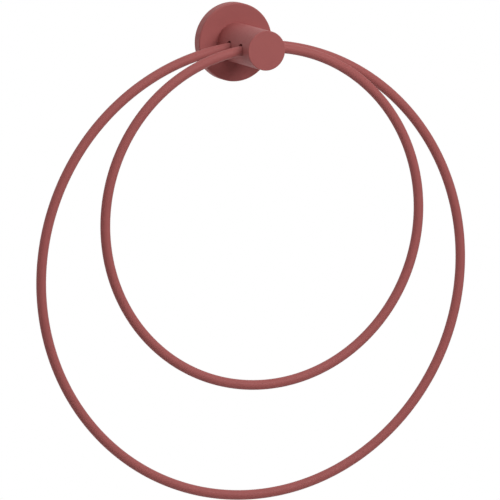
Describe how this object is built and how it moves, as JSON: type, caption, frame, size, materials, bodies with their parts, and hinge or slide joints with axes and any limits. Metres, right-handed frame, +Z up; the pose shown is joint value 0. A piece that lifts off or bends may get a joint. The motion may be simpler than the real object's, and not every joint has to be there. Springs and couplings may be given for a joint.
{
  "type": "towel holder",
  "caption": "Wall-mounted towel holder: a round rosette and straight post carry a large and a small closed ring that hang loose in cross holes.",
  "frame": {"origin": "where the post's axis meets the wall, midway between the two wall screw holes", "axes": "+Z up, +Y into the wall, so the post and the rings stand out towards -Y; +X along the ring holes"},
  "size_m": [0.2942, 0.058, 0.3161],
  "materials": {
    "red_paint": "matte powder coat, dusty red",
    "plate_steel": "zinc-plated",
    "screw_steel": "plain stainless"
  },
  "bodies": {
    "bracket": {"wall_plate": "plate_steel", "rosette": "red_paint", "grub_screw": "screw_steel", "post": "red_paint", "post_screw": "screw_steel"},
    "large_ring": {"large_ring": "red_paint"},
    "small_ring": {"small_ring": "red_paint"}
  },
  "joints": [
    {"name": "large_ring_swing", "type": "hinge", "parent": "bracket", "child": "large_ring", "pos_m": [0, -0.0265, 0], "axis": [-1, 0, 0], "range_deg": [-4.5, 184.5]},
    {"name": "small_ring_swing", "type": "hinge", "parent": "bracket", "child": "small_ring", "pos_m": [0, -0.045, 0], "axis": [-1, 0, 0], "range_deg": [-11, 191]}
  ]
}
